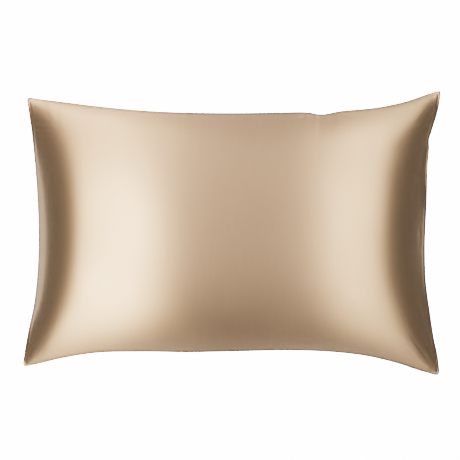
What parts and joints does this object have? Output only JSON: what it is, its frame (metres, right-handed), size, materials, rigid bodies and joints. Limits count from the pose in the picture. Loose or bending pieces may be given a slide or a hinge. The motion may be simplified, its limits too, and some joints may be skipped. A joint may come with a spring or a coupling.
{
  "type": "filled pillowcase",
  "caption": "Plump rectangular pillow in a smooth satin case: crowned face, drawn-in sides, four pointed corners and a knife-edge seam, resting flat on its back.",
  "frame": {"origin": "middle of the flat resting face, under the centre of the outline", "axes": "+X along the long side, +Y up the short side, +Z out through the crowned face"},
  "size_m": [0.7288, 0.4936, 0.1723],
  "materials": {
    "champagne_satin": "smooth warm champagne satin with a soft lengthwise sheen"
  },
  "bodies": {
    "root": {"filled_pillowcase": "champagne_satin"}
  },
  "joints": []
}
